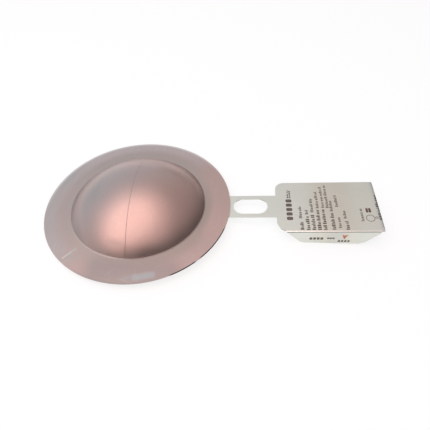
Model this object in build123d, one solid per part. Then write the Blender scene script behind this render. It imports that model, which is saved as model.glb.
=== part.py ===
from build123d import *

# Rupture disc with a folded flow tag.
#
# A thin metal disc is bulged into a shallow dome that bursts at a set pressure. Its flat rim is the
# seat, clamped between two pipe flanges. The tag is a separate folded sheet: its strip is spot
# welded under the seat and reaches out between the flange bolts, and its plate, with two edges
# folded down, can be read from above and from the side once the disc is in the line.
#
# Frame, in millimetres: the origin is the centre of the seat's underside, +Z is the disc's axis
# towards the crown, and +X runs along the tag.

import os
from math import atan2, cos, degrees, radians, sin, sqrt, tan

# Burst disc
rim_radius = 57.15
dome_base_radius = 41.3
dome_height = 17.8
disc_gauge = 0.5
base_fillet_radius = 0.7
rim_edge_break = 0.12

# Score line: a shallow groove over the crown, square to the tag's direction
score_width = 0.38
score_depth = 0.07
score_end_gap = 1.6

# Locating mark pressed into the seat: a groove that widens and deepens towards the edge
mark_azimuth = -129.2
mark_start_radius = 46.3
mark_edge_margin = 2.3
mark_start_width = 1.2
mark_end_width = 2.2
mark_start_depth = 0.08
mark_end_depth = 0.18

# Tag: the sheet, and the strip that carries the plate
tag_gauge = 0.5
strip_width = 17.5
strip_lap = 9.5
strip_lap_corner = 2.5
rim_to_rise = 0.3
strip_rise_angle = 3.0
strip_rise_radius = 5.0
strip_length = 27.4
slot_length = 20.8
slot_width = 11.7
rise_to_slot = 1.4

# Tag: the plate. Its near corner's arc sweeps round until the side fold starts.
plate_length = 60.7
plate_width = 39.6
far_corner_radius = 5.5
near_corner_radius = 7.0
near_corner_sweep = 72.0
strip_corner_radius = 0.5

# Tag: the two folded edges, a long one on the -Y side and a short one at the outer end. A flap's
# depth is taken from the mould line. The side flap is a little deeper at its outer end.
fold_angle = 85.0
side_fold_radius = 0.3
end_fold_radius = 0.8
side_flap_inner_depth = 9.2
side_flap_outer_depth = 10.4
end_flap_depth = 9.8
flap_slope_angle = 45.0
flap_inner_corner_radius = 5.5
flap_outer_corner_radius = 8.0

# Tag: the corner between the folds is a small flat tab, freed from both by a relief notch. Beside
# it each flap has a shoulder, square to its bend, before its end slopes back.
corner_tab = 1.6
corner_tab_overhang = 0.65
corner_tab_radius = 0.4
relief_width = 0.4
relief_depth = 0.2
flap_shoulder = 1.6

# Spot welds that hold the strip under the seat
weld_count = 3
weld_spacing = 5.2
weld_mark_diameter = 2.6
weld_mark_depth = 0.1

# A cutter or an overlong blank stands this far past what it cuts or is cut by.
CUT_MARGIN = 1.0


def arc_points(centre, radius, start, end):
    """First, middle and last point of an arc about a centre, with its angles in degrees."""
    angles = (start, (start + end) / 2, end)
    return [(centre[0] + radius * cos(radians(a)), centre[1] + radius * sin(radians(a))) for a in angles]


# ------------------------------------------------------------------------------------ burst disc

# The dome's outer skin is part of a ball, which would meet the seat's top face on the base circle.
dome_radius = (dome_base_radius**2 + dome_height**2) / (2 * dome_height)
dome_centre_height = disc_gauge + dome_height - dome_radius

# The base fillet rolls between the seat's top face and the outside of that ball.
fillet_rise = disc_gauge + base_fillet_radius - dome_centre_height
fillet_reach = sqrt((dome_radius + base_fillet_radius) ** 2 - fillet_rise**2)
fillet_centre = (fillet_reach, disc_gauge + base_fillet_radius)
dome_end_angle = degrees(atan2(fillet_rise, fillet_reach))


def seat():
    """The flat rim and the bend at the dome's base, revolved. The bend ends square to the dome."""
    outer_fillet = arc_points(fillet_centre, base_fillet_radius, 180 + dome_end_angle, 270)
    inner_fillet = arc_points(fillet_centre, base_fillet_radius + disc_gauge, 270, 180 + dome_end_angle)
    rim_top = (rim_radius, disc_gauge)
    rim_bottom = (rim_radius, 0)
    with BuildSketch(Plane.XZ) as section:
        with BuildLine():
            ThreePointArc(*outer_fillet)
            Polyline(outer_fillet[-1], rim_top, rim_bottom, inner_fillet[0])
            ThreePointArc(*inner_fillet)
            Line(inner_fillet[-1], outer_fillet[0])
        make_face()
        chamfer(section.vertices().sort_by_distance((rim_radius, 0, disc_gauge))[0], rim_edge_break)
    return revolve(section.sketch, Axis.Z)


def dome():
    """The wall of a hollow ball, inside the cone that ends it square where the base bend starts."""
    ball = Sphere(dome_radius) - Sphere(dome_radius - disc_gauge)
    cone_height = dome_radius + CUT_MARGIN
    cone_radius = cone_height / tan(radians(dome_end_angle))
    cone = Cone(0, cone_radius, cone_height, align=(Align.CENTER, Align.CENTER, Align.MIN))
    return Pos(0, 0, dome_centre_height) * (Rot(90, 0, 0) * ball & cone)


def vee(width, depth):
    """Face of a V cutter: its point is depth below the skin, which it opens to the given width."""
    return make_face(Polyline((0, -depth), (width, depth), (-width, depth), close=True))


def score_cutter():
    """The V carried along the dome's meridian over the crown, stopping short of the base fillet."""
    half_angle = 90 - dome_end_angle - degrees(score_end_gap / dome_radius)
    at_crown = Plane.XZ * Pos(0, dome_radius) * vee(score_width, score_depth)
    cutter = revolve(Rot(-half_angle, 0, 0) * at_crown, Axis.X, 2 * half_angle)
    return Pos(0, 0, dome_centre_height) * cutter


def mark_cutter():
    """The V lofted outwards along a radius of the seat, from narrow and shallow to wide and deep."""
    ends = (
        (mark_start_radius, mark_start_width, mark_start_depth),
        (rim_radius - mark_edge_margin, mark_end_width, mark_end_depth),
    )
    sections = []
    for radius, width, depth in ends:
        across = Plane((radius, 0, disc_gauge), x_dir=(0, 1, 0), z_dir=(1, 0, 0))
        sections.append(across * vee(width, depth))
    return Rot(0, 0, mark_azimuth) * loft(sections, ruled=True)


burst_disc = seat() + dome() - score_cutter() - mark_cutter()

# ------------------------------------------------------------------------------------- tag sheet

# The strip lies flat against the seat's underside and rises just outside the rim. The blade is all
# that lies flat beyond the rise. In its own plane, X runs out along the tag from the end of the
# rise, and the top face is at zero height.
rise = radians(strip_rise_angle)
rise_start = rim_radius + rim_to_rise
blade_plane = Plane(
    (rise_start + strip_rise_radius * sin(rise), 0, strip_rise_radius * (1 - cos(rise))),
    x_dir=(cos(rise), 0, sin(rise)),
    z_dir=(-sin(rise), 0, cos(rise)),
)

# Lines of the plate, in the blade's plane. A bend line is where the flat ends and the fold starts.
side_fold_outer = side_fold_radius + tag_gauge
end_fold_outer = end_fold_radius + tag_gauge
strip_half = strip_width / 2
plate_start = strip_length
plate_far = plate_width / 2
side_bend_line = side_fold_outer - plate_width / 2
end_bend_line = plate_start + plate_length - end_fold_outer

tab_near = side_bend_line - corner_tab_overhang
tab_end = end_bend_line + corner_tab_overhang
side_fold_start = plate_start + near_corner_radius * (1 - cos(radians(near_corner_sweep)))
side_fold_end = tab_end - corner_tab - relief_width
end_fold_start = tab_near + corner_tab + relief_width


def strip_root():
    """The lap under the seat, with its weld marks, and the rise beyond the rim."""
    lap = Box(
        strip_lap + rim_to_rise, strip_width, tag_gauge, align=(Align.MAX, Align.CENTER, Align.MAX)
    )
    lap = Pos(rise_start, 0, 0) * lap
    lap = fillet(lap.edges().filter_by(Axis.Z).group_by(Axis.X)[0], strip_lap_corner)
    mark_radius = weld_mark_diameter / 2
    ball_radius = (mark_radius**2 + weld_mark_depth**2) / (2 * weld_mark_depth)
    ball_height = weld_mark_depth - tag_gauge - ball_radius
    for weld in range(weld_count):
        across = (weld - (weld_count - 1) / 2) * weld_spacing
        lap -= Pos(rim_radius - strip_lap / 2, across, ball_height) * Sphere(ball_radius)
    rise_axis = Plane((rise_start, strip_half, strip_rise_radius), x_dir=(0, 0, -1), z_dir=(0, -1, 0))
    inner = arc_points((0, 0), strip_rise_radius, 0, strip_rise_angle)
    outer = arc_points((0, 0), strip_rise_radius + tag_gauge, strip_rise_angle, 0)
    section = make_face(
        [ThreePointArc(*inner), Line(inner[-1], outer[0]), ThreePointArc(*outer), Line(outer[-1], inner[0])]
    )
    return lap + rise_axis * extrude(section, strip_width)


def blade():
    """Everything flat beyond the rise, cut from the sheet in one outline."""
    near_arc = arc_points(
        (plate_start + near_corner_radius, side_bend_line + near_corner_radius * sin(radians(near_corner_sweep))),
        near_corner_radius,
        180,
        180 + near_corner_sweep,
    )
    far_corner = (plate_start, plate_far)
    tab_corner = (tab_end, tab_near)
    with BuildSketch() as outline:
        with BuildLine():
            Polyline(
                near_arc[0],
                (plate_start, -strip_half),
                (0, -strip_half),
                (0, strip_half),
                (plate_start, strip_half),
                far_corner,
                (end_bend_line, plate_far),
                (end_bend_line, end_fold_start),
                (end_bend_line - relief_depth, end_fold_start),
                (end_bend_line - relief_depth, end_fold_start - relief_width),
                (tab_end, end_fold_start - relief_width),
                tab_corner,
                (side_fold_end + relief_width, tab_near),
                (side_fold_end + relief_width, side_bend_line + relief_depth),
                (side_fold_end, side_bend_line + relief_depth),
                (side_fold_end, side_bend_line),
                near_arc[-1],
            )
            ThreePointArc(*near_arc)
        make_face()
        fillet(outline.vertices().sort_by_distance(far_corner)[0], far_corner_radius)
        fillet(outline.vertices().sort_by_distance(tab_corner)[0], corner_tab_radius)
        for side in (strip_half, -strip_half):
            fillet(outline.vertices().sort_by_distance((plate_start, side))[0], strip_corner_radius)
        with Locations((rise_to_slot + slot_length / 2, 0)):
            SlotOverall(slot_length, slot_width, mode=Mode.SUBTRACT)
    return extrude(outline.sketch, -tag_gauge)


def folded_edge(inside_radius, length, first_end, last_end):
    """A bend and its flap. The fold runs along Z, from X, the plate's normal, over towards Y.

    Each end is given as the flap's depth there, the shoulder before its slope, and the radius of
    the corner below the slope.
    """
    outside_radius = inside_radius + tag_gauge
    turn = radians(fold_angle)
    down = Vector(-sin(turn), cos(turn))
    outwards = Vector(cos(turn), sin(turn))
    mould_corner = Vector(outside_radius, outside_radius * tan(turn / 2))
    first_depth, first_shoulder, first_radius = first_end
    last_depth, last_shoulder, last_radius = last_end
    outer = [Vector(*point) for point in arc_points((0, 0), outside_radius, 0, fold_angle)]
    inner = [Vector(*point) for point in arc_points((0, 0), inside_radius, fold_angle, 0)]
    outer_tip = mould_corner + down * (max(first_depth, last_depth) + CUT_MARGIN)
    inner_tip = outer_tip - outwards * tag_gauge
    section = make_face(
        [
            ThreePointArc(*outer),
            Line(outer[-1], outer_tip),
            Line(outer_tip, inner_tip),
            Line(inner_tip, inner[0]),
            ThreePointArc(*inner),
            Line(inner[-1], outer[0]),
        ]
    )
    # The flap's shape, seen square on: along the fold from its first end, and down from the mould line.
    slope = tan(radians(flap_slope_angle))
    first_tip = ((first_depth - first_shoulder) * slope, first_depth)
    last_tip = (length - (last_depth - last_shoulder) * slope, last_depth)
    with BuildSketch() as outline:
        with BuildLine():
            Polyline(
                (0, -outside_radius),
                (0, first_shoulder),
                first_tip,
                last_tip,
                (length, last_shoulder),
                (length, -outside_radius),
                close=True,
            )
        make_face()
        fillet(outline.vertices().sort_by_distance(first_tip)[0], first_radius)
        fillet(outline.vertices().sort_by_distance(last_tip)[0], last_radius)
    flap_plane = Plane(mould_corner, x_dir=(0, 0, 1), z_dir=(-outwards.X, -outwards.Y, 0))
    return extrude(section, length) & flap_plane * extrude(outline.sketch, 2 * outside_radius, both=True)


side_fold = Plane(
    (side_fold_start, side_bend_line, -side_fold_outer), x_dir=(0, 0, 1), z_dir=(1, 0, 0)
) * folded_edge(
    side_fold_radius,
    side_fold_end - side_fold_start,
    (side_flap_inner_depth, 0, flap_inner_corner_radius),
    (side_flap_outer_depth, flap_shoulder, flap_outer_corner_radius),
)
end_fold = Plane(
    (end_bend_line, end_fold_start, -end_fold_outer), x_dir=(0, 0, 1), z_dir=(0, 1, 0)
) * folded_edge(
    end_fold_radius,
    plate_far - end_fold_start,
    (end_flap_depth, flap_shoulder, flap_outer_corner_radius),
    (end_flap_depth, 0, flap_inner_corner_radius),
)
flow_tag = strip_root() + blade_plane * (blade() + side_fold + end_fold)

# ----------------------------------------------------------------------------------------- export

os.makedirs("parts", exist_ok=True)
for name, shape in {"burst_disc": burst_disc, "flow_tag": flow_tag}.items():
    export_step(shape, f"parts/{name}.step")
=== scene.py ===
# %% [markdown]
# # A rupture disc with its flow tag
#
# The real object is two pieces of thin sheet metal. A disc is pressed into a shallow dome that
# bursts at a set pressure, and a printed tag is spot welded under its flat seat. The shapes come
# from the CAD frame. What is left for Blender is what the eye reads as metal: the satin finish of
# rolled sheet, its marks of handling, the print, and a studio for it all to be reflected in.

# %% Load the frame
import random
from math import cos, pi, radians, sin

import bmesh
import bpy
from mathutils import Matrix, Vector


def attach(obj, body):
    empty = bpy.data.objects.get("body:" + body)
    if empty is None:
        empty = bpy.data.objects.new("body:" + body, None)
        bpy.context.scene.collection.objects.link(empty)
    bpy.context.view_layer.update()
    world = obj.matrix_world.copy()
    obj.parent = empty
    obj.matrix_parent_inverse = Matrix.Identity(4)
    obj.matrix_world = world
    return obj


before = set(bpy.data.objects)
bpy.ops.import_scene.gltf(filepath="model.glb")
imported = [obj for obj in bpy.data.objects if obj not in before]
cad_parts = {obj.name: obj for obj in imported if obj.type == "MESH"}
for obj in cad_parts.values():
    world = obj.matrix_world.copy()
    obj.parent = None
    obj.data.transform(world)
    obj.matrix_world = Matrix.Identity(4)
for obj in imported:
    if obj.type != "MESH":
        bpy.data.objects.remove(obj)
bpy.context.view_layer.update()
mm = 0.001


print("nodes:", sorted(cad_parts))

# %% [markdown]
# ## The camera
#
# The object lies in front of the viewer, who looks down on it from close by. A camera could be
# turned by three angles, but a place, a point to aim at and a little roll say more about where
# the viewer stands. `to_track_quat` points the camera's -Z at the aim and keeps its X level, and
# the roll then turns it about its own line of sight.

# %% The camera
camera_place = Vector((59.73, -154.25, 175.09)) * mm
camera_aim = Vector((48.07, -7.24, 0.0)) * mm
camera_roll = radians(-1.81)
sensor_width = 36.0
lens_length = 31.63


def aimed(place, target, roll=0.0):
    """The matrix of something at place whose -Z points at target."""
    turn = (target - place).to_track_quat("-Z", "Y").to_matrix().to_4x4()
    return Matrix.Translation(place) @ turn @ Matrix.Rotation(roll, 4, "Z")


camera_data = bpy.data.cameras.new("studio_camera")
camera_data.sensor_width = sensor_width
camera_data.lens = lens_length
camera_data.clip_start = 5 * mm
camera = bpy.data.objects.new("studio_camera", camera_data)
camera.matrix_world = aimed(camera_place, camera_aim, camera_roll)
bpy.context.scene.collection.objects.link(camera)
bpy.context.scene.camera = camera
print("camera is", round((camera_place - camera_aim).length / mm), "mm from what it looks at")

# %% [markdown]
# ## The floor's white
#
# A material is a graph of nodes. Three small helpers keep the graphs readable: one adds a node
# and fills its sockets, one does arithmetic, and one starts a material with an empty graph. The
# floor's material is the first to be started.

# %% A material with an empty graph
def add_node(tree, kind, inputs=None, **settings):
    """A new node with its settings, and its inputs filled with values or joined to sockets."""
    node = tree.nodes.new(kind)
    for name, value in settings.items():
        setattr(node, name, value)
    for name, value in (inputs or {}).items():
        if isinstance(value, bpy.types.NodeSocket):
            tree.links.new(value, node.inputs[name])
        else:
            node.inputs[name].default_value = value
    return node


def calc(tree, operation, *values):
    """The result of a Math node on numbers or sockets."""
    return add_node(tree, "ShaderNodeMath", dict(enumerate(values)), operation=operation).outputs[0]


def new_material(name):
    """A material with an empty graph, and its output node."""
    material = bpy.data.materials.new(name)
    material.use_nodes = True
    tree = material.node_tree
    tree.nodes.clear()
    return material, tree, tree.nodes.new("ShaderNodeOutputMaterial")


white_floor, floor_tree, floor_output = new_material("white_floor")
print(white_floor.name, "starts with", [node.name for node in floor_tree.nodes])

# %% [markdown]
# A white floor could be made with more light, but that would bleach the object too. Here the
# floor adds its own white only where the camera or a reflection looks at it. The shadow stays,
# because part of the floor's white still comes from the lamps. Its own colour is a little cool,
# which makes up for the warm lamps. Seen from below, the floor is clear.

# %% The floor's white
floor_colour = (0.285, 0.305, 0.315, 1)
floor_glow = 0.74

path = add_node(floor_tree, "ShaderNodeLightPath").outputs
seen = calc(floor_tree, "MAXIMUM", path["Is Camera Ray"], path["Is Glossy Ray"])
seen = calc(floor_tree, "MAXIMUM", seen, path["Is Transmission Ray"])
glow = calc(floor_tree, "MULTIPLY", seen, floor_glow)
matt = add_node(floor_tree, "ShaderNodeBsdfDiffuse", {"Color": floor_colour})
light = add_node(floor_tree, "ShaderNodeEmission", {"Strength": glow})
both = add_node(floor_tree, "ShaderNodeAddShader", {0: matt.outputs[0], 1: light.outputs[0]})
clear = add_node(floor_tree, "ShaderNodeBsdfTransparent")
below = add_node(floor_tree, "ShaderNodeNewGeometry").outputs["Backfacing"]
shaders = {0: below, 1: both.outputs[0], 2: clear.outputs[0]}
surface = add_node(floor_tree, "ShaderNodeMixShader", shaders)
floor_tree.links.new(surface.outputs[0], floor_output.inputs["Surface"])
print(white_floor.name, "now has", len(floor_tree.nodes), "nodes")

# %% [markdown]
# ## The floor
#
# The tag's folded edge reaches lower than the seat, so the real object rests on two places: the
# far left edge of the disc and the lowest corner of the side flap. Turning the object would take
# it out of its own frame, so the floor is tilted under it instead, by less than three degrees.

# %% The floor
seat_radius = 57.15 * mm
rest_azimuth = radians(156)
flap_corner = Vector((99.5, -20.6, -6.98)) * mm
floor_size = 3.0
floor_clearance = 0.02 * mm

uphill = Vector((cos(rest_azimuth), sin(rest_azimuth), 0))
floor_slope = -flap_corner.z / (seat_radius - flap_corner.dot(uphill))


def object_of(name, made, material):
    """An object from a finished bmesh, with one material, linked into the scene."""
    mesh = bpy.data.meshes.new(name)
    made.to_mesh(mesh)
    made.free()
    mesh.materials.append(material)
    piece = bpy.data.objects.new(name, mesh)
    bpy.context.scene.collection.objects.link(piece)
    return piece


plane = bmesh.new()
bmesh.ops.create_grid(plane, x_segments=1, y_segments=1, size=floor_size / 2)
for vertex in plane.verts:
    height = floor_slope * (vertex.co.dot(uphill) - seat_radius) - floor_clearance
    vertex.co.z = height
floor = object_of("floor", plane, white_floor)
print("floor falls", round(floor_slope * 100, 2), "mm in every 100")

# %% [markdown]
# ## The studio
#
# Bare metal has hardly a colour of its own: it shows its surroundings. So the lights are chosen
# for what the dome mirrors. A warm softbox overhead puts the pink glow on the crown, and a wider,
# weaker one round it lets that glow fade slowly.
#
# A lamp's power is worked out from the brightness that its face should have, so that a box twice
# as large is as bright, not half.

# %% The softboxes
studio_centre = Vector((20, 0, 0)) * mm
warm_tint = (1, 0.76, 0.69)
halo_tint = (1, 0.80, 0.775)


def direction(azimuth, elevation):
    """The unit vector at an azimuth from +X and an elevation, both in degrees."""
    a, e = radians(azimuth), radians(elevation)
    return Vector((cos(a) * cos(e), sin(a) * cos(e), sin(e)))


def placed(azimuth, elevation, distance):
    """The matrix of something that faces the object from a direction and a distance."""
    return aimed(studio_centre + distance * direction(azimuth, elevation), studio_centre)


def softbox(name, azimuth, elevation, distance, width, height, brightness, tint):
    """A round lamp that faces the object. Brightness 1 looks as bright as white paper."""
    lamp = bpy.data.lights.new(name, "AREA")
    lamp.shape = "ELLIPSE"
    lamp.size = width
    lamp.size_y = height
    lamp.energy = brightness * pi * (pi / 4 * width * height)
    lamp.color = tint
    piece = bpy.data.objects.new(name, lamp)
    piece.matrix_world = placed(azimuth, elevation, distance)
    bpy.context.scene.collection.objects.link(piece)
    print(name, "gives", round(lamp.energy, 2), "W")


softbox("warm_box", 226, 71, 0.8, width=0.80, height=1.12, brightness=0.94, tint=warm_tint)
softbox("halo_box", 236, 74, 0.9, width=1.74, height=2.06, brightness=0.465, tint=halo_tint)

# %% [markdown]
# Dark cards in front and at the right draw the shaded crescent that makes the dome look round.
# The one on the far side is low, so it only darkens the end of that crescent. The cards are seen
# by reflections alone: they hide nothing from the camera and take no light from the object.

# %% The dark cards
card_distance = 0.6
card_colour = (0.08, 0.072, 0.07, 1)
card_places = (
    # name, azimuth, elevation, width, height
    ("far_card", 74, 0, 0.34, 0.16),
    ("far_right_card", 36, 0, 0.34, 0.30),
    ("right_card", 3, 6, 0.44, 0.44),
    ("near_right_card", -32, 11, 0.56, 0.62),
    ("front_card", -80, 15, 0.66, 0.70),
    ("near_left_card", -117, 6, 0.38, 0.48),
)


def dark_card(name, place, width, height):
    """A card that only reflections see, facing the object."""
    material, tree, output = new_material(name)
    matt = add_node(tree, "ShaderNodeBsdfDiffuse", {"Color": card_colour})
    tree.links.new(matt.outputs[0], output.inputs["Surface"])
    grid = bmesh.new()
    bmesh.ops.create_grid(grid, x_segments=1, y_segments=1, size=0.5)
    bmesh.ops.scale(grid, vec=(width, height, 1), verts=grid.verts)
    bmesh.ops.transform(grid, matrix=place, verts=grid.verts)
    card = object_of(name, grid, material)
    card.visible_camera = False
    card.visible_diffuse = False
    card.visible_shadow = False


for name, card_azimuth, card_elevation, width, height in card_places:
    dark_card(name, placed(card_azimuth, card_elevation, card_distance), width, height)
print("cards:", [row[0] for row in card_places])

# %% [markdown]
# The rest of the room is one even background, cool on the side where a window would be and darker
# across from it. A colour ramp mixes it by how far the direction looked in leans to the window.

# %% The room
window_azimuth = 140
room_colours = (
    # how far a direction leans towards the window, and the room's colour there
    (-0.50, (0.45, 0.40, 0.39, 1)),
    (0.00, (0.50, 0.46, 0.45, 1)),
    (0.30, (0.59, 0.57, 0.56, 1)),
    (0.70, (0.61, 0.71, 0.76, 1)),
    (0.95, (0.60, 0.78, 0.87, 1)),
)

world = bpy.data.worlds.new("pale_room")
bpy.context.scene.world = world
world.use_nodes = True
room = world.node_tree
room.nodes.clear()
looked_in = add_node(room, "ShaderNodeTexCoord").outputs["Generated"]
inputs = {0: looked_in, 1: direction(window_azimuth, 0)}
lean = add_node(room, "ShaderNodeVectorMath", inputs, operation="DOT_PRODUCT").outputs["Value"]
ramp = add_node(room, "ShaderNodeValToRGB", {"Fac": calc(room, "MULTIPLY_ADD", lean, 0.5, 0.5)})
stops = ramp.color_ramp.elements
for towards_window, colour in room_colours:
    stops.new((towards_window + 1) / 2).color = colour
stops.remove(stops[-1])
stops.remove(stops[0])
background = add_node(room, "ShaderNodeBackground", {"Color": ramp.outputs["Color"]})
room.links.new(background.outputs[0], add_node(room, "ShaderNodeOutputWorld").inputs["Surface"])

bpy.context.scene.view_settings.view_transform = "Standard"
print("the room's ramp has stops at", [round(stop.position, 2) for stop in stops])

# %% [markdown]
# ## Patterns that both metals share
#
# Rolled sheet is never perfectly even. It has fine streaks along the way that it went through the
# rolls, faint scratches from being handled, slow blotches, and edges rubbed bright. The disc and
# the tag have all of these at different strengths, so each pattern is a node group: built once,
# placed in each material, and fed with that material's own values.
#
# All of them read Object coordinates. Those are metres on the object itself, so a pattern stays
# put when the camera moves, and its scale can be thought of as lines per metre.
#
# The streaks are noise whose place is first turned and then squeezed across the rolling
# direction, which draws every grain out into a line.

# %% Streaks of rolling
def new_group(name, inputs, output):
    """A shader group with number sockets in and one number out, and its inner ends."""
    group = bpy.data.node_groups.new(name, "ShaderNodeTree")
    sockets = group.interface
    for socket, value in inputs.items():
        made = sockets.new_socket(socket, in_out="INPUT", socket_type="NodeSocketFloat")
        made.default_value = value
    sockets.new_socket(output, in_out="OUTPUT", socket_type="NodeSocketFloat")
    starts = group.nodes.new("NodeGroupInput").outputs
    end = group.nodes.new("NodeGroupOutput").inputs[output]
    print(name, "takes", list(inputs), "and gives", output)
    return group, starts, end


def smooth_range(tree, value, low, high, start=0.0, end=1.0):
    """start below low, end above high, and a smooth change between them."""
    inputs = {"Value": value, "From Min": low, "From Max": high, "To Min": start, "To Max": end}
    node = add_node(tree, "ShaderNodeMapRange", inputs, interpolation_type="SMOOTHSTEP")
    return node.outputs["Result"]


def turned_place(tree, turn):
    """Object coordinates, turned about Z by an angle in radians."""
    place = add_node(tree, "ShaderNodeTexCoord").outputs["Object"]
    inputs = {"Vector": place, "Angle": turn}
    return add_node(tree, "ShaderNodeVectorRotate", inputs, rotation_type="Z_AXIS").outputs[0]


def stretched(tree, place, along, across):
    """A place scaled by along in X and by across in Y and Z, which draws a pattern out along X."""
    scale = add_node(tree, "ShaderNodeCombineXYZ", {"X": along, "Y": across, "Z": across}).outputs[0]
    return add_node(tree, "ShaderNodeVectorMath", {0: place, 1: scale}, operation="MULTIPLY").outputs[0]


streak_values = {"Turn": 0.0, "Along": 60.0, "Across": 2200.0}
streaks_group, starts, end = new_group("rolling_streaks", streak_values, "Streaks")
place = turned_place(streaks_group, starts["Turn"])
place = stretched(streaks_group, place, starts["Along"], starts["Across"])
inputs = {"Vector": place, "Scale": 1.0, "Detail": 4.0, "Roughness": 0.65}
noise = add_node(streaks_group, "ShaderNodeTexNoise", inputs)
streaks_group.links.new(smooth_range(streaks_group, noise.outputs["Fac"], 0.3, 0.7), end)

# %% [markdown]
# Blotches are the same kind of noise, left round. On the metals they are about two centimetres
# across, which reads as a sheet that took the rolls unevenly, and not as a pattern.

# %% Slow blotches
blotch_values = {"Scale": 40.0, "Detail": 3.0}
blotch_group, starts, end = new_group("slow_blotches", blotch_values, "Blotch")
place = add_node(blotch_group, "ShaderNodeTexCoord").outputs["Object"]
inputs = {"Vector": place, "Scale": starts["Scale"], "Detail": starts["Detail"], "Roughness": 0.5}
noise = add_node(blotch_group, "ShaderNodeTexNoise", inputs)
blotch_group.links.new(smooth_range(blotch_group, noise.outputs["Fac"], 0.35, 0.65), end)

# %% [markdown]
# A scratch is the crest of a noise that is stretched almost into a line. Three sets at different
# angles are laid over each other, and a slow noise lets each through in only a few places.

# %% Scratches of handling
scratch_angles = (0.35, 1.25, 2.3)
scratch_values = {"Along": 25.0, "Across": 1500.0}

scratch_group, starts, end = new_group("handling_scratches", scratch_values, "Scratches")
layers = None
for angle in scratch_angles:
    place = turned_place(scratch_group, angle)
    lines = stretched(scratch_group, place, starts["Along"], starts["Across"])
    fine = add_node(scratch_group, "ShaderNodeTexNoise", {"Vector": lines, "Scale": 1.0, "Detail": 0.0})
    crest_polish_and_highlight = smooth_range(scratch_group, fine.outputs["Fac"], 0.70, 0.78)
    slow = add_node(scratch_group, "ShaderNodeTexNoise", {"Vector": place, "Scale": 55.0, "Detail": 1.0})
    here = smooth_range(scratch_group, slow.outputs["Fac"], 0.52, 0.64)
    layer = calc(scratch_group, "MULTIPLY", crest_polish_and_highlight, here)
    layers = layer if layers is None else calc(scratch_group, "MAXIMUM", layers, layer)
scratch_group.links.new(layers, end)

# %% [markdown]
# A Bevel node gives the normal that the surface would have with its edges rounded. Away from an
# edge it is the surface's own normal, so the angle between the two marks the edges, on any mesh.

# %% Rubbed edges
edge_group, starts, end = new_group("rubbed_edges", {"Width": 0.2 * mm}, "Edge")
rounded = add_node(edge_group, "ShaderNodeBevel", {"Radius": starts["Width"]}, samples=6)
plain = add_node(edge_group, "ShaderNodeNewGeometry").outputs["Normal"]
inputs = {0: rounded.outputs[0], 1: plain}
agree = add_node(edge_group, "ShaderNodeVectorMath", inputs, operation="DOT_PRODUCT")
edge_group.links.new(smooth_range(edge_group, agree.outputs["Value"], 0.98, 0.80), end)

# %% [markdown]
# Some marks have a place of their own: a smear, a stain, a worn patch. They are soft-edged
# rectangles, given by a centre, a turn and half sizes, in millimetres to keep the values readable.
# A little noise is added to the distance from the edge, so that no edge is ruler straight.

# %% A patch with a place
patch_values = {"X": 0.0, "Y": 0.0, "Turn": 0.0, "Half Length": 5.0, "Half Width": 2.0, "Softness": 1.0}

patch_group, starts, end = new_group("placed_patch", patch_values, "Patch")
place = add_node(patch_group, "ShaderNodeTexCoord").outputs["Object"]
place = add_node(patch_group, "ShaderNodeVectorMath", {0: place, "Scale": 1 / mm}, operation="SCALE")
place = place.outputs[0]
noise = add_node(patch_group, "ShaderNodeTexNoise", {"Vector": place, "Scale": 0.6, "Detail": 2.0})
wander = calc(patch_group, "SUBTRACT", noise.outputs["Fac"], 0.5)
centre = add_node(patch_group, "ShaderNodeCombineXYZ", {"X": starts["X"], "Y": starts["Y"]}).outputs[0]
off = add_node(patch_group, "ShaderNodeVectorMath", {0: place, 1: centre}, operation="SUBTRACT")
inputs = {"Vector": off.outputs[0], "Angle": calc(patch_group, "MULTIPLY", starts["Turn"], -1.0)}
level = add_node(patch_group, "ShaderNodeVectorRotate", inputs, rotation_type="Z_AXIS").outputs[0]
level = add_node(patch_group, "ShaderNodeSeparateXYZ", {0: level}).outputs
patch = None
for axis, half in (("X", "Half Length"), ("Y", "Half Width")):
    outside = calc(patch_group, "SUBTRACT", calc(patch_group, "ABSOLUTE", level[axis]), starts[half])
    outside = calc(patch_group, "ADD", outside, wander)
    share = calc(patch_group, "DIVIDE", outside, starts["Softness"])
    share = smooth_range(patch_group, share, 0.5, -0.5)
    patch = share if patch is None else calc(patch_group, "MULTIPLY", patch, share)
patch_group.links.new(patch, end)

# %% [markdown]
# ## The disc's metal
#
# The disc is a warm, slightly pink satin. Sheet that was rolled, pressed and handled is not one
# tone, and some light and shade is painted into its colour as well: the rim is painted paler on the
# far side as a painted reflection, the dome's foot is greyer and duller, partly where it was
# stretched and partly as painted shade, and the near part of the bend is painted darker as painted
# shade. One colour with noise on it would look like paint, so the tones are laid over each other
# one by one, each through a mask.
#
# A mask is a number from 0 to 1 for every point of the surface. Most masks here need only two
# facts about a point: how far it is from the disc's axis, and which way it lies from it. A third
# fact, which way the surface faces there, keeps a mark on the upper side.

# %% Where a point lies on the disc
disc_sides = {
    # side: its azimuth, and the cosines of the angle from it where a tone starts and is full
    "far": (110.0, 0.1, 0.7),
    "left": (190.0, 0.5, 0.9),
    "near": (-50.0, 0.2, 0.8),
    "right": (5.0, 0.75, 0.95),
    "foot": (145.0, -0.2, 0.6),
}


def leans_towards(tree, azimuth, middle, low, high):
    """One round the side whose azimuth is the middle, and zero across from it."""
    cosine = calc(tree, "COSINE", calc(tree, "RADIANS", calc(tree, "SUBTRACT", azimuth, middle)))
    return smooth_range(tree, cosine, low, high)


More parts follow.
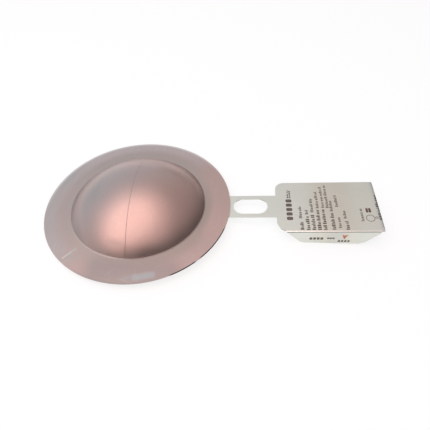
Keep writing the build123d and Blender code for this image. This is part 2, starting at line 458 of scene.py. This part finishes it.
disc_satin, disc_tree, disc_output = new_material("disc_metal_satin")
coordinates = add_node(disc_tree, "ShaderNodeTexCoord").outputs
xyz = add_node(disc_tree, "ShaderNodeSeparateXYZ", {0: coordinates["Object"]}).outputs
flat = add_node(disc_tree, "ShaderNodeCombineXYZ", {"X": xyz["X"], "Y": xyz["Y"]}).outputs[0]
reach = add_node(disc_tree, "ShaderNodeVectorMath", {0: flat}, operation="LENGTH").outputs["Value"]
radius = calc(disc_tree, "DIVIDE", reach, mm)
azimuth = calc(disc_tree, "DEGREES", calc(disc_tree, "ARCTAN2", xyz["Y"], xyz["X"]))
facing = add_node(disc_tree, "ShaderNodeSeparateXYZ", {0: coordinates["Normal"]}).outputs
upper = smooth_range(disc_tree, facing["Z"], 0.0, 0.2)
side = {name: leans_towards(disc_tree, azimuth, *spread) for name, spread in disc_sides.items()}
print("sides of the disc:", sorted(side))

# %% [markdown]
# The rolling streaks of the disc run square to the tag. On the seat it also carries a pale bluish
# patch with a fainter tail, a greyer patch beside the locating mark, the dull bottom of that mark,
# and a broad painted shade.

# %% Patterns and marks on the disc
seat_marks = {
    # centre in X and Y, turn in degrees, half length, half width, softness
    "pale_patch": (12.0, -51.8, 12.0, 6.0, 1.7, 2.8),
    "tail": (4.2, -53.0, 10.0, 3.8, 1.2, 3.0),
    "beside_mark": (-28.4, -41.5, 40.0, 2.8, 1.3, 2.2),
    "mark": (-31.9, -39.2, 50.8, 4.3, 1.15, 0.9),
    # the broad shade is painted shade in front, not a mark on the metal
    "shade": (6.0, -50.0, 0.0, 26.0, 8.0, 12.0),
}
tail_strength = 0.35


def use_group(tree, group, **values):
    """Places a group in a graph with its values, and gives its output."""
    inputs = {name.replace("_", " "): value for name, value in values.items()}
    return add_node(tree, "ShaderNodeGroup", inputs, node_tree=group).outputs[0]


def patch_at(tree, x, y, turn, half_length, half_width, softness):
    """A soft-edged patch at a place in mm, turned by an angle in degrees."""
    sizes = {"Half_Length": half_length, "Half_Width": half_width, "Softness": softness}
    return use_group(tree, patch_group, X=x, Y=y, Turn=radians(turn), **sizes)


def product(tree, first, *others):
    """All the values multiplied: for masks, what they have in common."""
    for other in others:
        first = calc(tree, "MULTIPLY", first, other)
    return first


streaks = use_group(disc_tree, streaks_group, Turn=radians(90), Along=70.0, Across=1800.0)
blotch = use_group(disc_tree, blotch_group, Scale=45.0)
scratches = use_group(disc_tree, scratch_group, Along=30.0, Across=1600.0)
edges = use_group(disc_tree, edge_group, Width=0.25 * mm)
marks = {
    name: product(disc_tree, upper, patch_at(disc_tree, *place)) for name, place in seat_marks.items()
}
pale_patch = calc(disc_tree, "MAXIMUM", marks["pale_patch"], product(disc_tree, marks["tail"], tail_strength))
print("marks on the seat:", sorted(marks))

# %% [markdown]
# The seat is a little yellower close to the dome, and painted darker there in front, which is
# painted shade. Further out, painted reflections change its tone from side to side: paler on the
# far side, greyer at the left and brighter at the right. The broad painted shade in front is laid
# over that.

# %% The seat's tones
seat_colour = (0.555, 0.42, 0.395, 1)
seat_blotch_colour = (0.60, 0.405, 0.38, 1)
inner_seat_colour = (0.555, 0.435, 0.40, 1)
# painted shade: the darker inner seat in front and the broad shade; the rim's side tones are painted
# reflections
near_inner_seat_shade_colour = (0.475, 0.375, 0.345, 1)
painted_shade_colour = (0.405, 0.335, 0.325, 1)
inner_seat_radii = (52.5, 44.5)
painted_rim_tones = {
    # side: the radii where the tone starts and is full, and the tone
    "far": (46.0, 53.0, (0.66, 0.525, 0.51, 1)),
    "left": (45.0, 54.0, (0.57, 0.48, 0.465, 1)),
    "right": (43.0, 48.0, (0.63, 0.445, 0.41, 1)),
}


def mix_colour(tree, share, first, second, blend="MIX"):
    """A blend of two colours: all first at share 0, all second at share 1."""
    node = add_node(tree, "ShaderNodeMix", data_type="RGBA", blend_type=blend)
    for socket, value in zip((node.inputs[0], node.inputs[6], node.inputs[7]), (share, first, second)):
        if isinstance(value, bpy.types.NodeSocket):
            tree.links.new(value, socket)
        else:
            socket.default_value = value
    return node.outputs[2]


def lay_over(tree, colour, *layers):
    """Lays tones over a colour, one after the other. A layer is a mask, a strength and a tone."""
    for mask, strength, tone in layers:
        colour = mix_colour(tree, product(tree, mask, strength), colour, tone)
    return colour


seat = lay_over(disc_tree, seat_colour, (blotch, 0.7, seat_blotch_colour))
inner_seat = lay_over(disc_tree, inner_seat_colour, (side["near"], 1.0, near_inner_seat_shade_colour))
seat = lay_over(disc_tree, seat, (smooth_range(disc_tree, radius, *inner_seat_radii), 1.0, inner_seat))
for name, (start, full, tone) in painted_rim_tones.items():
    painted_rim = product(disc_tree, smooth_range(disc_tree, radius, start, full), side[name])
    seat = lay_over(disc_tree, seat, (painted_rim, 1.0, tone))
seat = lay_over(disc_tree, seat, (marks["shade"], 0.9, painted_shade_colour))
print("with the seat, the disc's graph has", len(disc_tree.nodes), "nodes")

# %% [markdown]
# The dome's foot turns grey all round, partly because the sheet was stretched there, and most on
# the far side, which is painted shade. A few soft zones on the dome are painted a shade darker or
# paler, as painted shade and painted light. They lie like broad rings cut short, so each is a band
# of radii and a side.

# %% Zones of the dome
base_radius = 41.3
foot_width = 7.0
# every zone is painted: the shaded ones are painted shade, the lit foot is painted light
dome_zones = {
    # the band's low and high radius and its softness, then the side, as in disc_sides
    "shaded left": (21.0, 35.5, 4.0, 160.0, 0.55, 0.95),
    "shaded right": (34.5, 37.5, 2.0, 26.0, 0.93, 0.985),
    "shaded far": (24.0, 31.0, 4.0, 85.0, 0.8, 0.97),
    "lit foot": (37.0, 39.5, 1.5, 58.0, 0.93, 0.985),
}


def band(tree, value, low, high, soft):
    """One between low and high, and zero outside, with soft ends."""
    rising = smooth_range(tree, value, low - soft, low + soft)
    falling = smooth_range(tree, value, high + soft, high - soft)
    return product(tree, rising, falling)


zones = {}
for name, (low, high, soft, middle, start, full) in dome_zones.items():
    ring = band(disc_tree, radius, low, high, soft)
    zones[name] = product(disc_tree, upper, ring, leans_towards(disc_tree, azimuth, middle, start, full))
painted_dome_shade = calc(disc_tree, "MAXIMUM", zones["shaded right"], zones["shaded far"])

# the foot's grey is partly the stretched sheet; its rise towards the far side is painted shade
greyed_and_shaded = calc(disc_tree, "MULTIPLY_ADD", side["foot"], 0.65, 0.35)
greyed_and_shaded = calc(disc_tree, "MULTIPLY_ADD", side["left"], -0.6, greyed_and_shaded)
foot = product(disc_tree, smooth_range(disc_tree, radius, base_radius - foot_width, base_radius), greyed_and_shaded)
print("zones of the dome:", sorted(zones))

# %% [markdown]
# Two thin crescents of shade lie near the foot, one at the left and one in front. They darken what
# lies under them, so they are multiplied over it and not mixed in. The left one drifts outwards as
# it goes round, so the radius is first slanted by the azimuth.

# %% Crescents of shade
crescent_start = 180.0
crescent_end = 228.0
drift_per_degree = 0.144

round_azimuth = calc(disc_tree, "FLOORED_MODULO", azimuth, 360.0)
drift = product(disc_tree, calc(disc_tree, "SUBTRACT", round_azimuth, crescent_start), drift_per_degree)
slanted = calc(disc_tree, "SUBTRACT", radius, drift)
left_run = band(disc_tree, round_azimuth, crescent_start, crescent_end, 9.0)
left_crescent = product(disc_tree, band(disc_tree, slanted, 32.5, 35.0, 2.0), left_run)
low_run = band(disc_tree, round_azimuth, 254.0, 268.0, 6.0)
low_crescent = product(disc_tree, band(disc_tree, radius, 33.5, 36.5, 1.5), low_run)
crescents = product(disc_tree, upper, calc(disc_tree, "MAXIMUM", left_crescent, low_crescent))
print("the left crescent drifts", round((crescent_end - crescent_start) * drift_per_degree, 1), "mm")

# %% [markdown]
# With its masks made, the dome's tones are laid over each other, and then the dome over the seat.

# %% The dome's tones
dome_colour = (0.585, 0.415, 0.385, 1)
left_painted_shade_colour = (0.50, 0.385, 0.355, 1)
far_painted_shade_colour = (0.50, 0.358, 0.332, 1)
foot_grey_and_shade_colour = (0.40, 0.385, 0.365, 1)
foot_painted_light_colour = (0.63, 0.48, 0.45, 1)
crescent_shade = (0.82, 0.85, 0.85, 1)

dome = lay_over(
    disc_tree,
    dome_colour,
    (zones["shaded left"], 1.0, left_painted_shade_colour),
    (painted_dome_shade, 1.0, far_painted_shade_colour),
    (foot, 1.0, foot_grey_and_shade_colour),
    (zones["lit foot"], 1.0, foot_painted_light_colour),
)
dome = mix_colour(disc_tree, crescents, dome, crescent_shade, blend="MULTIPLY")
on_dome = smooth_range(disc_tree, radius, base_radius + 0.5, base_radius - 0.5)
disc_colour = lay_over(disc_tree, seat, (on_dome, 1.0, dome))
print("with the dome, it has", len(disc_tree.nodes), "nodes")

# %% [markdown]
# Then come the finer things, which lie over seat and dome alike: the dull bend at the dome's base,
# with a painted highlight just outside it at the near left and painted shade on its near part, the
# streaks and scratches, and the marks. The score line is cut into the sheet in CAD, and a little
# painted shade along its groove helps it to be seen from a step away.

# %% Bend, streaks and marks
bend_colour = (0.42, 0.38, 0.36, 1)
bend_highlight_colour = (0.50, 0.56, 0.56, 1)
near_bend_shade_colour = (0.20, 0.17, 0.16, 1)
disc_streak_colour = (0.50, 0.36, 0.335, 1)
disc_edge_colour = (0.66, 0.61, 0.58, 1)
beside_mark_colour = (0.50, 0.455, 0.415, 1)
pale_patch_colour = (0.50, 0.52, 0.54, 1)
mark_colour = (0.535, 0.495, 0.475, 1)
score_shade_colour = (0.30, 0.22, 0.20, 1)
score_half_width = 0.17

bend = band(disc_tree, radius, base_radius - 0.6, base_radius + 0.1, 0.2)
# painted highlight outside the bend, painted shade on its near part, painted shade in the score
bend_painted_highlight = band(disc_tree, radius, base_radius + 0.25, base_radius + 0.8, 0.15)
bend_painted_highlight = product(disc_tree, bend_painted_highlight, band(disc_tree, azimuth, -145.0, -60.0, 15.0))
near_bend_painted_shade = band(disc_tree, radius, base_radius - 0.5, base_radius + 0.6, 0.25)
near_bend_painted_shade = product(disc_tree, near_bend_painted_shade, band(disc_tree, azimuth, -92.0, 0.0, 16.0))
from_score = calc(disc_tree, "DIVIDE", xyz["X"], mm)
score_painted_shade = band(disc_tree, from_score, -score_half_width, score_half_width, 0.05)
score_end = smooth_range(disc_tree, radius, base_radius - 1.5, base_radius - 2.5)
score_painted_shade = product(disc_tree, score_painted_shade, score_end, upper)

disc_colour = lay_over(
    disc_tree,
    disc_colour,
    (bend, 0.4, bend_colour),
    (bend_painted_highlight, 0.4, bend_highlight_colour),
    (near_bend_painted_shade, 0.85, near_bend_shade_colour),
    (streaks, 0.22, disc_streak_colour),
    (scratches, 0.18, disc_edge_colour),
    (marks["beside_mark"], 0.6, beside_mark_colour),
    (pale_patch, 0.85, pale_patch_colour),
    (marks["mark"], 1.0, mark_colour),
    (score_painted_shade, 0.3, score_shade_colour),
)
print("with bend, streaks and marks, it has", len(disc_tree.nodes), "nodes")

# %% [markdown]
# The cut edge of the rim shines where it is rubbed. A painted highlight makes it palest on the far
# side, and painted shade makes it darker in front. Along two runs at the near right it is painted
# nearly black, as the painted shadow under the raised rim. The runs stop short of each other, which
# is what keeps them from looking like a drawn outline.

# %% The rim's edge
seat_edge = 57.15
far_edge_highlight_colour = (0.80, 0.70, 0.68, 1)
near_edge_shade_colour = (0.34, 0.30, 0.29, 1)
edge_shadow_colour = (0.03, 0.028, 0.024, 1)

rim_line = smooth_range(disc_tree, radius, seat_edge - 0.7, seat_edge - 0.3)
rubbed = calc(disc_tree, "MAXIMUM", edges, product(disc_tree, rim_line, 0.15))
# painted highlight on the far edge, painted shade on the near edge, painted shadow along two runs
far_edge_painted_highlight = product(disc_tree, smooth_range(disc_tree, radius, 55.3, 56.3), side["far"])
near_edge_painted_shade = smooth_range(disc_tree, radius, 55.6, 56.8)
near_edge_painted_shade = product(disc_tree, near_edge_painted_shade, band(disc_tree, azimuth, -115.0, -68.0, 12.0))
first_run = band(disc_tree, azimuth, -62.5, -46.5, 1.5)
second_run = band(disc_tree, azimuth, -43.0, -17.5, 2.0)
at_edge = smooth_range(disc_tree, radius, seat_edge - 0.56, seat_edge - 0.36)
edge_painted_shadow = product(disc_tree, at_edge, calc(disc_tree, "MAXIMUM", first_run, second_run))

disc_colour = lay_over(
    disc_tree,
    disc_colour,
    (rubbed, 0.7, disc_edge_colour),
    (far_edge_painted_highlight, 1.0, far_edge_highlight_colour),
    (near_edge_painted_shade, 0.5, near_edge_shade_colour),
    (edge_painted_shadow, 1.0, edge_shadow_colour),
)
print("with its edge, it has", len(disc_tree.nodes), "nodes")

# %% [markdown]
# Roughness sets how far each reflection spreads, so it also sets how soft the glow on the crown
# looks. Streaks, blotches, bend, the pale patch, the locating mark and the painted shadow at the rim
# each add a little to it. The same streaks and scratches give the surface a faint relief of two
# hundredths of a millimetre, to break up the reflections.

# %% The disc's gloss and relief
disc_roughness = 0.31
relief_depth = 0.02 * mm


def add_up(tree, start, *shares):
    """A starting value plus each mask times its weight."""
    for mask, weight in shares:
        start = calc(tree, "MULTIPLY_ADD", mask, weight, start)
    return start


def join_shader(tree, output, strength, depth, height, **inputs):
    """Feeds a graph's colour, gloss and relief to its Principled shader."""
    relief = {"Strength": strength, "Distance": depth, "Height": height}
    normal = add_node(tree, "ShaderNodeBump", relief).outputs[0]
    inputs = {name.replace("_", " "): value for name, value in inputs.items()}
    shader = add_node(tree, "ShaderNodeBsdfPrincipled", {**inputs, "Normal": normal})
    tree.links.new(shader.outputs[0], output.inputs["Surface"])


disc_rough = add_up(
    disc_tree,
    disc_roughness,
    (streaks, 0.05),
    (blotch, 0.04),
    (pale_patch, 0.2),
    (marks["mark"], 0.15),
    (bend, 0.15),
    (edge_painted_shadow, 0.3),
)
height = calc(disc_tree, "SUBTRACT", product(disc_tree, streaks, 0.4), scratches)
join_shader(
    disc_tree, disc_output, 0.08, relief_depth, height,
    Base_Color=disc_colour, Metallic=1.0, Roughness=disc_rough,
)

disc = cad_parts["burst_disc"]
disc.material_slots[0].material = disc_satin
print(disc.name, "is", disc_satin.name, "with", len(disc_tree.nodes), "nodes")

# %% [markdown]
# ## The tag's metal
#
# The tag is paler stainless sheet, brushed along its length. It is warmer in the middle, has a
# painted bluish reflection beside the outer bend, and is greyer in the middle of the side flap. The
# side fold carries a painted highlight on its crest, where it is also polished smoother, and
# painted shade just below. Those two lines are found by how far the surface leans towards -Y,
# whatever its mesh.

# %% Patterns and marks on the tag
tag_patches = {
    # centre in X and Y, turn in degrees, half length, half width, softness
    "middle": (118.0, 3.0, 0.0, 11.0, 30.0, 16.0),
    # the bend patch is a painted bluish reflection on the outer bend
    "bend": (144.6, 0.0, 0.0, 0.8, 30.0, 3.0),
    "flap": (119.0, -21.0, 0.0, 5.0, 8.0, 9.0),
}

tag_satin, tag_tree, tag_output = new_material("tag_steel_satin")
streaks = use_group(tag_tree, streaks_group, Turn=0.0, Along=80.0, Across=2600.0)
blotch = use_group(tag_tree, blotch_group, Scale=60.0)
scratches = use_group(tag_tree, scratch_group, Along=40.0, Across=1900.0)
edges = use_group(tag_tree, edge_group, Width=0.2 * mm)
patches = {name: patch_at(tag_tree, *place) for name, place in tag_patches.items()}
facing = add_node(tag_tree, "ShaderNodeTexCoord").outputs["Normal"]
facing = add_node(tag_tree, "ShaderNodeSeparateXYZ", {0: facing}).outputs
lean = product(tag_tree, facing["Y"], -1.0)
# painted highlight on the fold's crest and painted shade just below it
crest_polish_and_highlight = band(tag_tree, lean, 0.16, 0.60, 0.06)
below_crest_painted_shade = band(tag_tree, lean, 0.68, 0.96, 0.03)
flap_middle = product(tag_tree, patches["flap"], smooth_range(tag_tree, lean, 0.975, 0.99))
print("patches of the tag:", sorted(patches))

# %% [markdown]
# The tones are laid over each other as on the disc. The metal is rougher than the disc, except on
# the crest, where rubbing has polished it.

# %% The tag's tones, gloss and relief
tag_colour = (0.785, 0.805, 0.745, 1)
tag_middle_colour = (0.755, 0.73, 0.645, 1)
tag_bend_reflection_colour = (0.60, 0.62, 0.62, 1)
tag_streak_colour = (0.68, 0.68, 0.63, 1)
tag_edge_colour = (0.90, 0.89, 0.85, 1)
crest_highlight_colour = (0.97, 1.0, 1.0, 1)
below_crest_shade_colour = (0.38, 0.36, 0.335, 1)
flap_middle_colour = (0.67, 0.68, 0.63, 1)
tag_roughness = 0.38

tag_metal = lay_over(
    tag_tree,
    tag_colour,
    (patches["middle"], 1.0, tag_middle_colour),
    (patches["bend"], 0.8, tag_bend_reflection_colour),
    (streaks, 0.22, tag_streak_colour),
    (scratches, 0.3, tag_edge_colour),
    (edges, 0.8, tag_edge_colour),
    (crest_polish_and_highlight, 1.0, crest_highlight_colour),
    (below_crest_painted_shade, 1.0, below_crest_shade_colour),
    (flap_middle, 1.0, flap_middle_colour),
)
tag_rough = add_up(tag_tree, tag_roughness, (streaks, 0.06), (crest_polish_and_highlight, -0.2), (blotch, 0.05))
height = calc(tag_tree, "SUBTRACT", product(tag_tree, streaks, 0.5), scratches)
join_shader(
    tag_tree, tag_output, 0.1, relief_depth, height,
    Base_Color=tag_metal, Metallic=1.0, Roughness=tag_rough,
)

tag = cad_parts["flow_tag"]
tag.material_slots[0].material = tag_satin
print(tag.name, "is", tag_satin.name, "with", len(tag_tree.nodes), "nodes")

# %% [markdown]
# ## The print on the tag
#
# A real tag carries the maker's sign and lines of data. None of that is copied here. Its place
# holds plain blocks of the same size and weight, the way a sign maker greeks a line of type.
# They are thin real solids that stand on the sheet, so they keep their place from any angle.
#
# The print is laid out in the tag's own plane: X runs out along the tag, Y across it, and Z
# stands off the sheet. One matrix then carries the whole layout onto the tilted plate.

# %% The tag's own plane
tag_start = Vector((57.71, 0.0, 0.007)) * mm
tag_pitch = radians(3.0)
bend_start = 86.8

on_plate = Matrix.Translation(tag_start) @ Matrix.Rotation(-tag_pitch, 4, "Y")
outer_bend = on_plate @ Vector((bend_start * mm, 0, 0))
print("the outer bend starts at", [round(v / mm, 2) for v in outer_bend], "mm")

# %% [markdown]
# Ink on metal is matt and a little uneven: it lets the sheet's streaks through and is thinner in
# places. The same streak and blotch groups as in the metals give it that, and the wear blends an
# ink's full colour with its thin one.

# %% Inks
ink_colours = {
    # name: the colour where the ink is full, and where it is worn thin
    "bold_ink": ((0.035, 0.030, 0.028, 1), (0.12, 0.105, 0.10, 1)),
    "label_ink": ((0.07, 0.058, 0.052, 1), (0.20, 0.17, 0.155, 1)),
    "faint_ink": ((0.13, 0.112, 0.10, 1), (0.27, 0.24, 0.215, 1)),
    "brown_ink": ((0.07, 0.035, 0.028, 1), (0.16, 0.09, 0.075, 1)),
    "arrow_ink": ((0.80, 0.31, 0.19, 1), (0.86, 0.50, 0.38, 1)),
}
ink_roughness = 0.45
ink_relief_depth = 0.01 * mm


def new_ink(name, full, thin):
    """A matt ink that goes from its full colour to a thinner one."""
    material, tree, output = new_material(name)
    streaks = use_group(tree, streaks_group, Turn=0.0, Along=300.0, Across=2600.0)
    blotch = use_group(tree, blotch_group, Scale=420.0)
    edges = use_group(tree, edge_group, Width=0.05 * mm)
    wear = product(tree, calc(tree, "ADD", streaks, blotch), 0.4)
    wear = calc(tree, "MAXIMUM", wear, product(tree, edges, 0.5))
    colour = mix_colour(tree, wear, full, thin)
    rough = add_up(tree, ink_roughness, (blotch, 0.15))
    join_shader(tree, output, 0.15, ink_relief_depth, wear, Base_Color=colour, Roughness=rough)
    return material


inks = {name: new_ink(name, *colours) for name, colours in ink_colours.items()}
print("inks:", sorted(inks))

# %% [markdown]
# Every block is a cube that is scaled to its place on the layout, with its upright edges rounded.
# Its underside is sunk a little way into the sheet, so that no gap shows at a low angle.

# %% Blocks of ink
ink_height = 0.02 * mm
ink_sunk = 0.01 * mm


def add_block(layout, low, high, rounding):
    """A thin block on the layout plane between two corners in mm, its upright edges rounded."""
    size = Vector(high) - Vector(low)
    middle = (Vector(high) + Vector(low)) / 2 * mm
    scale = Matrix.Diagonal((size.x * mm, size.y * mm, ink_height + ink_sunk, 1))
    place = Matrix.Translation((middle.x, middle.y, (ink_height - ink_sunk) / 2))
    made = bmesh.ops.create_cube(layout, size=1.0, matrix=place @ scale)["verts"]
    # the keys of a dict stay in order, so every run rounds the edges in the same order
    edges = dict.fromkeys(e for v in made for e in v.link_edges)
    upright = [e for e in edges if abs((e.verts[0].co - e.verts[1].co).z) > ink_height / 2]
    bmesh.ops.bevel(
        layout, geom=upright, offset=rounding * mm, segments=4, profile=0.5, affect="EDGES", material=-1
    )


def finish_print(name, layout, place, material):
    """Makes a bmesh layout an object on the sheet, and says what it rides on and is made of."""
    bmesh.ops.transform(layout, matrix=place, verts=layout.verts)
    bmesh.ops.recalc_face_normals(layout, faces=layout.faces)
    piece = object_of(name, layout, material)
    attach(piece, "root")
    print(name, "has", len(piece.data.polygons), "faces")


print("ink stands", round(ink_height / mm, 3), "mm off the sheet")

# %% [markdown]
# A line of type becomes a row of blocks, one for each letter's width, with a wider gap between
# words. The widths are drawn from a seeded generator, so that every run gives the same rows.

# %% Rows of greeked type
letter_gap = 0.38
word_gap = 0.9
letter_widths = (0.60, 1.15)
letter_rounding = 0.12
word_letters = (3, 7)
tall_letters = 0.35
low_height = 0.70
dice = random.Random(7)


def add_row(layout, x, y_start, y_end, height):
    """Blocks from y_start to y_end in mm, centred on x. Most are low letters, some are tall."""
    y = y_start
    left_in_word = dice.randint(*word_letters)
    while y < y_end - letter_widths[0]:
        width = min(dice.uniform(*letter_widths), y_end - y)
        tall = dice.random() < tall_letters or y == y_start
        top = x - height / 2
        if not tall:
            top = x + height / 2 - height * low_height
        add_block(layout, (top, y), (x + height / 2, y + width), letter_rounding)
        left_in_word -= 1
        y += width + letter_gap
        if left_in_word == 0:
            y += word_gap - letter_gap
            left_in_word = dice.randint(*word_letters)


print("about", round(10 / (sum(letter_widths) / 2 + letter_gap)), "letters in 10 mm")

# %% [markdown]
# On the plate, a column of bolder labels stands beside the fainter values that were filled in. The
# two are pieces of their own, because they are printed in different inks.

# %% The rows on the plate
label_height = 2.05
value_height = 1.75
label_rows = (
    # X, and the Y where the row starts and ends
    (41.6, -18.2, -12.1),
    (45.1, -18.4, -7.9),
    (48.3, -18.4, -6.4),
    (51.5, -18.4, -3.3),
    (54.7, -18.4, -2.5),
    (59.6, -18.2, -5.9),
    (67.3, -18.3, -11.5),
)
value_rows = (
    # the same columns
    (41.3, -9.7, -0.4),
    (45.0, -6.7, -3.1),
    (48.3, -5.1, 6.3),
    (51.8, -1.9, 11.7),
    (55.0, -1.6, 15.6),
    (57.7, -1.6, 17.2),
    (59.8, -4.4, 4.2),
    (63.1, -17.0, -8.0),
    (63.3, -0.8, 9.3),
    (66.9, -10.0, -2.5),
    (76.6, -12.1, -2.5),
)

layout = bmesh.new()
for row in label_rows:
    add_row(layout, *row, label_height)
finish_print("label_rows", layout, on_plate, inks["label_ink"])

layout = bmesh.new()
for row in value_rows:
    add_row(layout, *row, value_height)
finish_print("value_rows", layout, on_plate, inks["faint_ink"])

# %% [markdown]
# The maker's sign is left out. Its place holds five plain rounded blocks of that size, with two
# short rows of small type beside them.

# %% The sign's place
sign_x = (33.3, 36.9)
sign_y = (-11.0, 5.5)
sign_blocks = 5
sign_gap = 0.95
sign_rounding = 0.8
beside_sign_height = 0.95
beside_sign_rows = ((34.75, 6.5, 13.2), (36.0, 6.5, 13.2))

layout = bmesh.new()
pitch = (sign_y[1] - sign_y[0] + sign_gap) / sign_blocks
for block in range(sign_blocks):
    y = sign_y[0] + block * pitch
    add_block(layout, (sign_x[0], y), (sign_x[1], y + pitch - sign_gap), sign_rounding)
for row in beside_sign_rows:
    add_row(layout, *row, beside_sign_height)
finish_print("sign_place", layout, on_plate, inks["label_ink"])

# %% [markdown]
# Near the outer end stand a large ring, a small one, and two bars side by side. A ring is two
# circles joined by bridged loops, and then given its thickness.

# %% Rings and bars
rings = (
    # centre, outer radius, inner radius, segments
    ((81.3, -9.8), 2.55, 2.15, 32),
    ((84.9, -9.4), 0.85, 0.50, 20),
)
bars = (((79.6, -5.4), (80.9, -2.1)), ((81.2, -5.4), (82.5, -2.1)))
bar_rounding = 0.3


def thicken(layout, faces):
    """Gives flat faces the ink's thickness, by raising a copy of them with sides."""
    top = bmesh.ops.extrude_face_region(layout, geom=faces, use_keep_orig=True)["geom"]
    raised = [v for v in top if isinstance(v, bmesh.types.BMVert)]
    bmesh.ops.translate(layout, vec=(0, 0, ink_height + ink_sunk), verts=raised)


def add_ring(layout, centre, outer, inner, segments):
    """A flat ring with the ink's thickness."""
    place = Matrix.Translation((centre[0] * mm, centre[1] * mm, -ink_sunk))
    rims = {}
    for size in (outer * mm, inner * mm):
        made = bmesh.ops.create_circle(layout, segments=segments, radius=size, matrix=place)["verts"]
        rims.update(dict.fromkeys(e for v in made for e in v.link_edges))
    thicken(layout, bmesh.ops.bridge_loops(layout, edges=list(rims))["faces"])


layout = bmesh.new()
for ring in rings:
    add_ring(layout, *ring)
finish_print("ring_mark", layout, on_plate, inks["faint_ink"])

layout = bmesh.new()
for low, high in bars:
    add_block(layout, low, high, bar_rounding)
finish_print("square_mark", layout, on_plate, inks["brown_ink"])

# %% [markdown]
# One line of type runs along the outer bend and a little over it, in two parts. It is laid out
# flat, as it was printed before the sheet was folded, then cut across in a few places and wrapped
# round the bend's axis.

# %% The row over the outer bend
bend_radius = 1.3
wrap_cuts = 5
wrap_end = 88.5
bend_rows = (
    # X, the Y where the row starts and ends, and its height
    (87.0, -1.2, 8.5, 1.9),
    (87.3, -11.2, -1.8, 2.2),
)


def wrap_round_bend(layout):
    """Bends what lies beyond the start of the bend, from the flat, round the bend's axis."""
    for cut in range(wrap_cuts):
        x = (bend_start + (wrap_end - bend_start) * cut / wrap_cuts) * mm
        everything = layout.verts[:] + layout.edges[:] + layout.faces[:]
        bmesh.ops.bisect_plane(layout, geom=everything, plane_co=(x, 0, 0), plane_no=(1, 0, 0))
    for vertex in layout.verts:
        past = vertex.co.x - bend_start * mm
        if past > 0:
            angle = past / (bend_radius * mm)
            from_axis = bend_radius * mm + vertex.co.z
            vertex.co.x = bend_start * mm + from_axis * sin(angle)
            vertex.co.z = from_axis * cos(angle) - bend_radius * mm


layout = bmesh.new()
for row in bend_rows:
    add_row(layout, *row)
wrap_round_bend(layout)
finish_print("bend_row", layout, on_plate, inks["bold_ink"])

# %% [markdown]
# ## The print on the side flap
#
# The flap has its own plane, hinged down from the plate's edge by the angle of the fold. There the
# layout's Y runs up the flap, so a depth below the fold is a negative Y. Its words run along the
# flap, so the blocks lie side by side in X.

# %% The side flap's print
fold_line = -19.733
fold_angle = radians(85)
flap_rounding = 0.25
flap_rows = (
    # X where the row starts and ends, depth below the fold, height, letter widths, gap
    (46.0, 55.3, 5.8, 1.9, (1.4, 1.7), 0.5),
    (56.0, 60.6, 5.6, 1.25, (0.8, 1.3), 0.3),
    (62.4, 69.9, 8.0, 1.5, (1.2, 1.6), 0.5),
)
on_flap = on_plate @ Matrix.Translation((0, fold_line * mm, 0)) @ Matrix.Rotation(fold_angle, 4, "X")


def add_flap_row(layout, x_start, x_end, depth, height, widths, gap):
    """Blocks along the flap from x_start to x_end, centred on a depth below the fold."""
    x = x_start
    while x < x_end - widths[0]:
        width = min(dice.uniform(*widths), x_end - x)
        low, high = (x, -depth - height / 2), (x + width, -depth + height / 2)
        add_block(layout, low, high, flap_rounding)
        x += width + gap


layout = bmesh.new()
for row in flap_rows:
    add_flap_row(layout, *row)
finish_print("flap_row", layout, on_flap, inks["faint_ink"])

# %% [markdown]
# A tag like this one shows which way the flow goes. The sign is a plain arrow, drawn corner by
# corner as one face, and then given its thickness.

# %% The direction sign
arrow_outline = ((-1.75, 0.0), (0.0, -0.7), (1.75, 0.0), (0.15, -3.8), (-0.15, -3.8))
arrow_top = (65.8, -2.5)

layout = bmesh.new()
corners = [((arrow_top[0] + x) * mm, (arrow_top[1] + y) * mm, -ink_sunk) for x, y in arrow_outline]
thicken(layout, [layout.faces.new([layout.verts.new(corner) for corner in corners])])
finish_print("direction_sign", layout, on_flap, inks["arrow_ink"])
